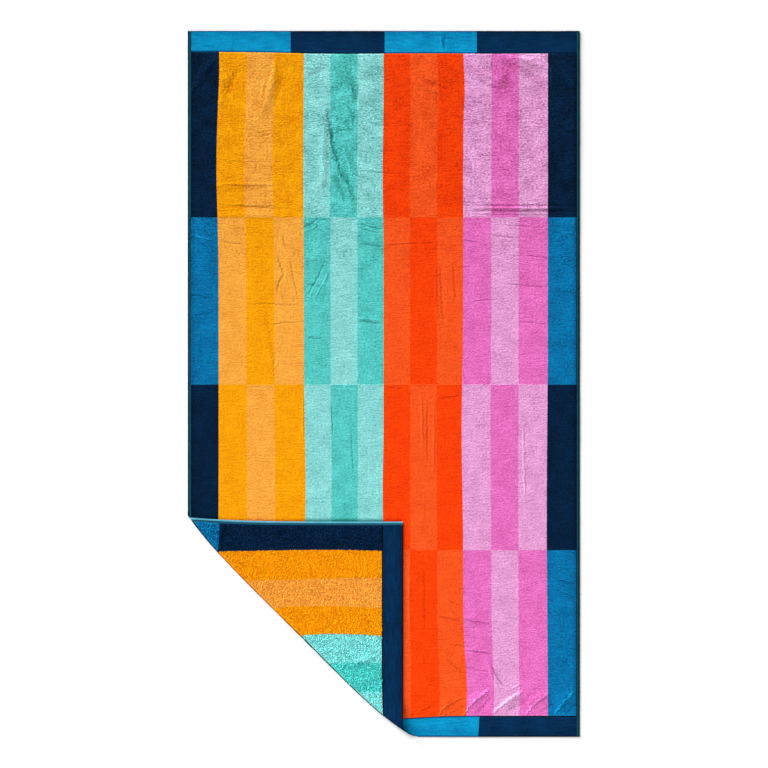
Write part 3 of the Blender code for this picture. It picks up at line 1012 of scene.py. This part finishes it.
def side_hem_material(name, yarn_name, edge_shade_tone, shade_from):
    """The narrow side hem: one yarn, painted shade at its outer edge and where the pile overhangs it."""
    material, tree, shader, weave = cloth_material(name)
    grain = grain_of(tree, weave, patch=0.30, line=0.40, crumb=0.50, tuft=0.40)
    seam = group_node(tree, seam_group, {"Weave": weave})["Side Seam"]
    # Painted shade at the turned outer edge, and a painted shadow under the pile's edge.
    turned_edge_shade = eased(tree, seam, near=-0.0058, far=-0.0035, start=edge_shade_tone, end=1.0)
    shaded_to = shade_from + SIDE_SHADE_WIDTH
    under_pile_shadow = eased(tree, seam, near=shade_from, far=shaded_to, start=1.0, end=0.20)
    tone = product(tree, [grain["Tone"], turned_edge_shade, under_pile_shadow])
    finish(tree, shader, YARNS[yarn_name], tone, grain["Height"], depth=0.0005)
    return material


stripe_group = build_stripe_group()
grain_group = build_grain_group()
seam_group = build_seam_group()
wrinkle_group = build_wrinkle_group()
shaded_yarn_group = build_shaded_yarn_group()
CLOTH_MATERIALS = (
    velour_material(),
    terry_ground_material(),
    end_hem_material("end hem face", False),
    end_hem_material("end hem reverse", True),
    side_hem_material("side hem face", "selvedge", edge_shade_tone=0.25, shade_from=-0.0024),
    side_hem_material("side hem reverse", "trim", edge_shade_tone=1.0, shade_from=-0.0062),
)
FACE_MATERIALS = {"pile": 0, "end": 2, "side": 4}
REVERSE_MATERIALS = {"pile": 1, "end": 3, "side": 5}


def cell_materials(middles, choices):
    """Which material each cell takes, by its place in the weave: side hem, end hem or pile."""
    in_end = np.abs(middles[:, 1]) > HALF_LENGTH - END_HEM_WIDTH
    in_side = np.abs(middles[:, 0]) > HALF_WIDTH - SIDE_HEM_WIDTH
    return np.where(in_side, choices["side"], np.where(in_end, choices["end"], choices["pile"]))


def rim_strip(columns, rows, count):
    """Triangles that join the two surfaces around the grid's outline, facing outwards."""
    index = np.arange(columns * rows).reshape(columns, rows)
    ring = np.concatenate([index[:, 0], index[-1, 1:], index[-2::-1, -1], index[0, -2::-1]])
    here, after = ring[:-1], ring[1:]
    return np.vstack([
        np.column_stack([here, here + count, after + count]),
        np.column_stack([here, after + count, after]),
    ])


def make_cloth():
    """The folded sheet: its middle surface moved out by half the thickness, either way."""
    fold_end_x = FOLD_REACH - HALF_WIDTH
    fold_end_y = FOLD_REACH - HALF_LENGTH
    plain_x = np.concatenate([
        np.linspace(-HALF_WIDTH, fold_end_x, CORNER_CELLS + 1),
        even_lines(fold_end_x, HALF_WIDTH, SIDE_STEP)[1:],
    ])
    plain_y = np.concatenate([
        np.linspace(-HALF_LENGTH, fold_end_y, CORNER_CELLS + 1),
        even_lines(fold_end_y, TOP_FROM, MIDDLE_STEP)[1:],
        even_lines(TOP_FROM, HALF_LENGTH, TOP_STEP)[1:],
    ])
    lines_x = grid_lines(plain_x, HALF_WIDTH, SIDE_HEM_WIDTH)
    lines_y = grid_lines(plain_y, HALF_LENGTH, END_HEM_WIDTH)
    columns, rows = len(lines_x), len(lines_y)
    grid = np.stack(np.meshgrid(lines_x, lines_y, indexing="ij"), axis=-1).reshape(-1, 2)
    weave = drawn_to_bend(grid)
    middle = folded(weave)
    normal = surface_normals(middle, columns, rows)
    half = rounded_half_thickness(grid)[:, None]
    face_points = middle + normal * half
    reverse_points = middle - normal * half
    first, right, across, up = cell_corners(columns, rows)
    lower = np.column_stack([first, right, up])
    upper = np.column_stack([right, across, up])
    face = np.vstack([lower, upper])
    count = len(middle)
    reverse = face[:, ::-1] + count
    rim = rim_strip(columns, rows, count)
    middles = (grid[first] + grid[across]) / 2
    face_kinds = np.tile(cell_materials(middles, FACE_MATERIALS), 2)
    reverse_kinds = np.tile(cell_materials(middles, REVERSE_MATERIALS), 2)
    rim_kinds = np.full(len(rim), FACE_MATERIALS["end"])
    piece = mesh_from(
        "towel_cloth",
        np.vstack([face_points, reverse_points]),
        np.vstack([face, reverse, rim]),
        CLOTH_MATERIALS,
        np.concatenate([face_kinds, reverse_kinds, rim_kinds]),
        np.tile(weave, (2, 1)),
    )
    for number, layer in enumerate(wrinkle_layers(middle[:, :2], turn_at(weave) < -math.pi / 2)):
        known = piece.data.attributes.new(f"wrinkle {number}", "FLOAT_VECTOR", "POINT")
        known.data.foreach_set("vector", np.tile(layer, (2, 1)).astype(np.float32).ravel())
    beside = piece.data.attributes.new("beside flap", "FLOAT", "POINT")
    beside.data.foreach_set("value", np.tile(beside_flap(middle[:, :2]), 2).astype(np.float32))
    return piece


cloth = make_cloth()
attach(cloth, "root")
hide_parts("towel")

# Terry loops. The reverse is left uncut: each warp thread of the pile stands up in small arches,
# set close together in rows and leaning all ways. They are made where the reverse shows, on the
# folded corner and the outside of the bend.

LOOP_PITCH = 0.0036
LOOP_JITTER = 0.46
LOOP_REACH = 0.0013
LOOP_HEIGHT = 0.0024
LOOP_LEAN = 0.0012
LOOP_YARN_RADIUS = 0.00070
LOOP_ROOT_DEPTH = 0.0006
LOOP_SMALLEST = 0.70
LOOP_LARGEST = 1.35
LOOP_RINGS = 5
LOOP_SIDES = 4
LOOP_SEED = 21
# How far round the bend the loops begin, in radians from the middle of its half circle.
LOOPS_FROM_TURN = 1.15
LOOP_HEM_CLEARANCE = 0.0006
# Loops are joined into one piece for each band of stripes, by the stripes' number from the side.
LOOP_BANDS = (
    ("navy", 0, 0),
    ("outer_yellow", 1, 1),
    ("middle_yellow", 2, 2),
    ("inner_yellow", 3, 3),
    ("aqua", 4, 6),
)
# The step in the weave over which the threads' directions are read.
NUDGE = 0.0004


def surface_frame(weave, side):
    """Points on one side of the cloth, with its outward normal and the directions of its threads."""
    here = folded(weave)
    along_x = folded(weave + np.array([NUDGE, 0.0])) - here
    along_y = folded(weave + np.array([0.0, NUDGE])) - here
    along_x /= np.linalg.norm(along_x, axis=1, keepdims=True)
    along_y /= np.linalg.norm(along_y, axis=1, keepdims=True)
    normal = side * np.cross(along_x, along_y)
    normal /= np.linalg.norm(normal, axis=1, keepdims=True)
    surface = here + normal * thickness_at(weave)[:, None] / 2
    return surface, normal, along_x, along_y


def loop_places(random):
    """A lattice of places over the folded corner's pile, each moved at random within its cell."""
    low = np.array([-HALF_WIDTH + SIDE_HEM_WIDTH, -HALF_LENGTH + END_HEM_WIDTH])
    reach = np.array([FOLD_REACH, FOLD_REACH])
    counts = (reach / LOOP_PITCH).astype(int)
    cells = np.stack(np.meshgrid(np.arange(counts[0]), np.arange(counts[1]), indexing="ij"), axis=-1)
    places = low + (cells.reshape(-1, 2) + 0.5) * LOOP_PITCH
    places += (random.random(places.shape) - 0.5) * 2 * LOOP_JITTER * LOOP_PITCH
    kept = (inside_hems(places) > LOOP_HEM_CLEARANCE) & (turn_at(places) > LOOPS_FROM_TURN)
    return places[kept]


def stripe_number(places):
    """The number of the stripe that each place lies in, from the left side."""
    ends = np.cumsum([row["width"] for row in table_rows(STRIPE_COLUMNS, STRIPES)]) - HALF_WIDTH
    return np.searchsorted(ends, places[:, 0])


def tube_triangles(rings, sides):
    """Triangles of a closed tube of rings, with a fan over each end."""
    ring, side = np.meshgrid(np.arange(rings - 1), np.arange(sides), indexing="ij")
    here = (ring * sides + side).ravel()
    beside = (ring * sides + (side + 1) % sides).ravel()
    walls = np.vstack([
        np.column_stack([here, beside, beside + sides]),
        np.column_stack([here, beside + sides, here + sides]),
    ])
    fan = np.arange(1, sides - 1)
    last = (rings - 1) * sides
    start = np.column_stack([np.zeros_like(fan), fan + 1, fan])
    end = np.column_stack([np.zeros_like(fan), fan, fan + 1]) + last
    return np.vstack([walls, start, end])


def rings_around(middle, first, second, radius, sides):
    """Points round the middle line of each thread, a ring at each of its places.

    A ring is the cosine of an even turn times the first direction, and its sine times the second
    one, times the radius there.
    """
    turn = np.arange(sides) / sides * 2 * math.pi
    ring = (
        first[:, :, None, :] * np.cos(turn)[None, None, :, None]
        + second[:, :, None, :] * np.sin(turn)[None, None, :, None]
    )
    points = middle[:, :, None, :] + ring * np.reshape(radius, (1, -1, 1, 1))
    return points.reshape(len(middle), -1, 3)


def loop_points(places, random):
    """Arches of yarn. Each one's middle line is half an ellipse from root to root, leaning aside.

    At a share s of its length the line lies cos(pi s) times the reach along the arch's own
    direction, sin(pi s) times the height up, and sin(pi s) times the lean across. A ring goes round
    it, in the plane of the ellipse's outward direction and the arch's sideways one.
    """
    surface, normal, along_x, along_y = surface_frame(places, -1)
    heading = random.random(len(places)) * 2 * math.pi
    ahead = np.cos(heading)[:, None] * along_x + np.sin(heading)[:, None] * along_y
    aside = np.cross(normal, ahead)
    scale = LOOP_SMALLEST + (LOOP_LARGEST - LOOP_SMALLEST) * random.random(len(places))
    lean = (random.random(len(places)) - 0.5) * 2 * LOOP_LEAN
    share = np.linspace(0.0, 1.0, LOOP_RINGS)
    run = np.cos(math.pi * share) * LOOP_REACH
    rise = np.sin(math.pi * share)
    up = rise[None, :] * LOOP_HEIGHT * scale[:, None] - LOOP_ROOT_DEPTH
    middle = (
        surface[:, None, :]
        + ahead[:, None, :] * (run[None, :] * scale[:, None])[..., None]
        + normal[:, None, :] * up[..., None]
        + aside[:, None, :] * (rise[None, :] * lean[:, None])[..., None]
    )
    outward = (
        ahead[:, None, :] * np.cos(math.pi * share)[None, :, None]
        + normal[:, None, :] * np.sin(math.pi * share)[None, :, None]
    )
    return rings_around(middle, outward, aside[:, None, :], LOOP_YARN_RADIUS, LOOP_SIDES)


def joined_copies(points, triangles):
    """Many copies of one small mesh as one: the copies' points and shifted triangles."""
    copies, each = points.shape[:2]
    shifted = triangles[None, :, :] + (np.arange(copies) * each)[:, None, None]
    return points.reshape(-1, 3), shifted.reshape(-1, 3)


LOOP_DEEPENING = 0.95
# How much lighter than their yarn the loops are painted, as painted light on their tops.
LOOP_PAINTED_LIGHT = 1.72
TWISTS_PER_METRE = 2500.0


def deepened(tree, colour):
    """A colour with less red the more its green outdoes it, as light from deep among loops has."""
    parts = place_node(tree, "ShaderNodeSeparateColor", {"Color": colour}).outputs
    lead = math_node(tree, "SUBTRACT", parts["Green"], parts["Red"], clamp=True)
    kept = math_node(tree, "MULTIPLY_ADD", lead, -LOOP_DEEPENING, 1.0)
    red = math_node(tree, "MULTIPLY", parts["Red"], kept)
    joined = {"Red": red, "Green": parts["Green"], "Blue": parts["Blue"]}
    return place_node(tree, "ShaderNodeCombineColor", joined).outputs["Color"]


def terry_loop_material():
    """Twisted cotton yarn in the reverse's colours, painted lighter as light on the loops, each a little
    lighter or darker.
    """
    material, tree, shader, weave = cloth_material("terry loops")
    stripes = group_node(tree, stripe_group, {"Weave": weave, "Ragged": 0.0, "Reverse": 1.0})
    grain = grain_of(tree, weave, patch=0.40, line=0.0, crumb=1.00, tuft=4.40)
    tone = math_node(tree, "MULTIPLY", grain["Tone"], LOOP_PAINTED_LIGHT)
    place = place_node(tree, "ShaderNodeTexCoord").outputs["Object"]
    twist = noise_node(tree, place, TWISTS_PER_METRE, 2.0)["Fac"]
    finish(tree, shader, deepened(tree, stripes["Colour"]), tone, twist, depth=0.0002)
    return material


def make_loops():
    """The joined loops of each band of stripes."""
    random = np.random.default_rng(LOOP_SEED)
    places = loop_places(random)
    numbers = stripe_number(places)
    material = terry_loop_material()
    triangles = tube_triangles(LOOP_RINGS, LOOP_SIDES)
    pieces = []
    for name, first, last in LOOP_BANDS:
        chosen = places[(numbers >= first) & (numbers <= last)]
        points = loop_points(chosen, random)
        uv = np.repeat(chosen, points.shape[1], axis=0)
        joined, joined_triangles = joined_copies(points, triangles)
        pieces.append(mesh_from(f"terry_loops_{name}", joined, joined_triangles, [material], uv=uv))
    return pieces


loop_pieces = make_loops()
for piece in loop_pieces:
    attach(piece, "root")

# Hem stitches. The turned hems are held by a row of lockstitch in cotton thread, one row near the
# inner edge of each hem, sunk a little into the cloth.

STITCH_LENGTH = 0.0030
STITCH_PITCH = 0.0042
STITCH_RADIUS = 0.00028
STITCH_SIDES = 5
STITCH_RISE = 0.0001
# The rows: which hem, how far inside the cloth's edge, and on which side of the cloth (1 is the face).
STITCH_ROW_COLUMNS = ("hem", "inset", "side")
STITCH_ROWS = (
    ("end", 0.0505, 1),
    ("end", 0.0505, -1),
    ("side", 0.0062, 1),
    ("side", 0.0062, -1),
)
# A thread's thickness along its stitch, as shares of its radius.
STITCH_PROFILE = (0.15, 0.9, 1.0, 0.9, 0.15)
THREAD_TWISTS_PER_METRE = 3000.0


def stitch_line(row, edge):
    """Places along one hem at the stitches' pitch, near one of the cloth's edges."""
    if row["hem"] == "end":
        count = int(TOWEL_WIDTH / STITCH_PITCH)
        x = (np.arange(count) + 0.5) * STITCH_PITCH - HALF_WIDTH
        return np.column_stack([x, np.full(count, edge * (HALF_LENGTH - row["inset"]))])
    count = int(TOWEL_LENGTH / STITCH_PITCH)
    y = (np.arange(count) + 0.5) * STITCH_PITCH - HALF_LENGTH
    return np.column_stack([np.full(count, edge * (HALF_WIDTH - row["inset"])), y])


def stitch_points(places, row):
    """Short threads with pointed ends, each a few rings of the profile along its own direction."""
    surface, normal, along_x, along_y = surface_frame(places, row["side"])
    ahead = along_x if row["hem"] == "end" else along_y
    aside = np.cross(normal, ahead)
    share = np.linspace(-0.5, 0.5, len(STITCH_PROFILE))
    radius = np.array(STITCH_PROFILE) * STITCH_RADIUS
    sunk = -np.abs(share) * 2 * STITCH_RADIUS
    middle = (
        surface[:, None, :]
        + ahead[:, None, :] * (share * STITCH_LENGTH)[None, :, None]
        + normal[:, None, :] * (STITCH_RISE + sunk)[None, :, None]
    )
    return rings_around(middle, aside[:, None, :], normal[:, None, :], radius, STITCH_SIDES)


def thread_material():
    """Cotton thread in a dark teal, a little uneven along its length."""
    material, tree, shader, weave = cloth_material("hem thread")
    tone = grain_of(tree, weave, patch=0.30, line=0.0, crumb=0.60, tuft=0.60)["Tone"]
    place = place_node(tree, "ShaderNodeTexCoord").outputs["Object"]
    twist = noise_node(tree, place, THREAD_TWISTS_PER_METRE, 1.0)["Fac"]
    finish(tree, shader, YARNS["thread"], tone, twist, depth=0.0001)
    return material


def make_stitches():
    """Every row of stitches joined into one piece; on the reverse, only where it shows."""
    all_points = []
    all_places = []
    for row in table_rows(STITCH_ROW_COLUMNS, STITCH_ROWS):
        for edge in (-1, 1):
            places = stitch_line(row, edge)
            turn = turn_at(places)
            places = places[turn < -math.pi / 2 if row["side"] > 0 else turn > LOOPS_FROM_TURN]
            if len(places) == 0:
                continue
            all_points.append(stitch_points(places, row))
            all_places.append(places)
    points = np.concatenate(all_points)
    uv = np.repeat(np.concatenate(all_places), points.shape[1], axis=0)
    joined, triangles = joined_copies(points, tube_triangles(len(STITCH_PROFILE), STITCH_SIDES))
    return mesh_from("hem_stitches", joined, triangles, [thread_material()], uv=uv)


stitches = make_stitches()
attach(stitches, "root")

# Surface and light. The towel lies on a plain pale surface. Two soft lights come from the upper
# left, one of them low, with a weak lamp beyond the bottom end and even light from all around.

FLOOR_SIZE = 14.0
FLOOR_COLOUR = (0.98, 0.98, 0.98, 1.0)
FLOOR_ROUGHNESS = 0.9
KEY_DIRECTION = (-0.60, 0.60, 0.42)
KEY_STRENGTH = 3.45
KEY_SPREAD = math.radians(30.0)
LOW_DIRECTION = (-0.60, 0.60, 0.13)
LOW_STRENGTH = 2.80
LOW_SPREAD = math.radians(10.0)
NEAR_LAMP_PLACE = (0.3, -3.2, 2.6)
NEAR_LAMP_SIZE = 1.5
NEAR_LAMP_POWER = 28.0
FILL_STRENGTH = 0.36


def make_floor():
    """A square plane at the height of the surface."""
    half = FLOOR_SIZE / 2
    corners = np.array([(-half, -half, 0.0), (half, -half, 0.0), (half, half, 0.0), (-half, half, 0.0)])
    material = bpy.data.materials.new("pale surface")
    material.use_nodes = True
    shader = material.node_tree.nodes["Principled BSDF"]
    shader.inputs["Base Color"].default_value = FLOOR_COLOUR
    shader.inputs["Roughness"].default_value = FLOOR_ROUGHNESS
    shader.inputs["Specular IOR Level"].default_value = 0.0
    return mesh_from("pale_floor", corners, np.array([(0, 1, 2), (0, 2, 3)]), [material])


def make_lamp(name, kind, place, strength):
    """A lamp at a place, turned to face the middle of the towel."""
    lamp = bpy.data.lights.new(name, kind)
    lamp.energy = strength
    piece = bpy.data.objects.new(name, lamp)
    piece.location = place
    piece.rotation_euler = Vector(place).to_track_quat("Z", "Y").to_euler()
    bpy.context.scene.collection.objects.link(piece)
    return lamp


def make_lamps():
    """Two soft even lights from the upper left, one low, and a weak lamp beyond the bottom end."""
    key = make_lamp("soft key", "SUN", KEY_DIRECTION, KEY_STRENGTH)
    key.angle = KEY_SPREAD
    low = make_lamp("low key", "SUN", LOW_DIRECTION, LOW_STRENGTH)
    low.angle = LOW_SPREAD
    near = make_lamp("near lamp", "AREA", NEAR_LAMP_PLACE, NEAR_LAMP_POWER)
    near.size = NEAR_LAMP_SIZE


def make_fill_light():
    """Even white light from all around."""
    world = bpy.data.worlds.new("soft fill")
    world.use_nodes = True
    background = world.node_tree.nodes["Background"]
    background.inputs["Color"].default_value = (1.0, 1.0, 1.0, 1.0)
    background.inputs["Strength"].default_value = FILL_STRENGTH
    bpy.context.scene.world = world


make_floor()
make_lamps()
make_fill_light()

# Camera. It hangs straight above the towel and looks down at it through a long lens, with the
# towel's top end at the top of the picture.

CAMERA_LENS = 100.0
CAMERA_HEIGHT = 5.53
CAMERA_X = 0.0005
CAMERA_Y = -0.0003
CAMERA_SEES_TO = 100.0


def make_camera():
    """A camera that looks straight down, as the photograph does."""
    lens = bpy.data.cameras.new("above")
    lens.lens = CAMERA_LENS
    lens.clip_end = CAMERA_SEES_TO
    piece = bpy.data.objects.new("above", lens)
    piece.location = (CAMERA_X, CAMERA_Y, CAMERA_HEIGHT)
    bpy.context.scene.collection.objects.link(piece)
    bpy.context.scene.camera = piece
    bpy.context.scene.view_settings.view_transform = "Standard"


make_camera()
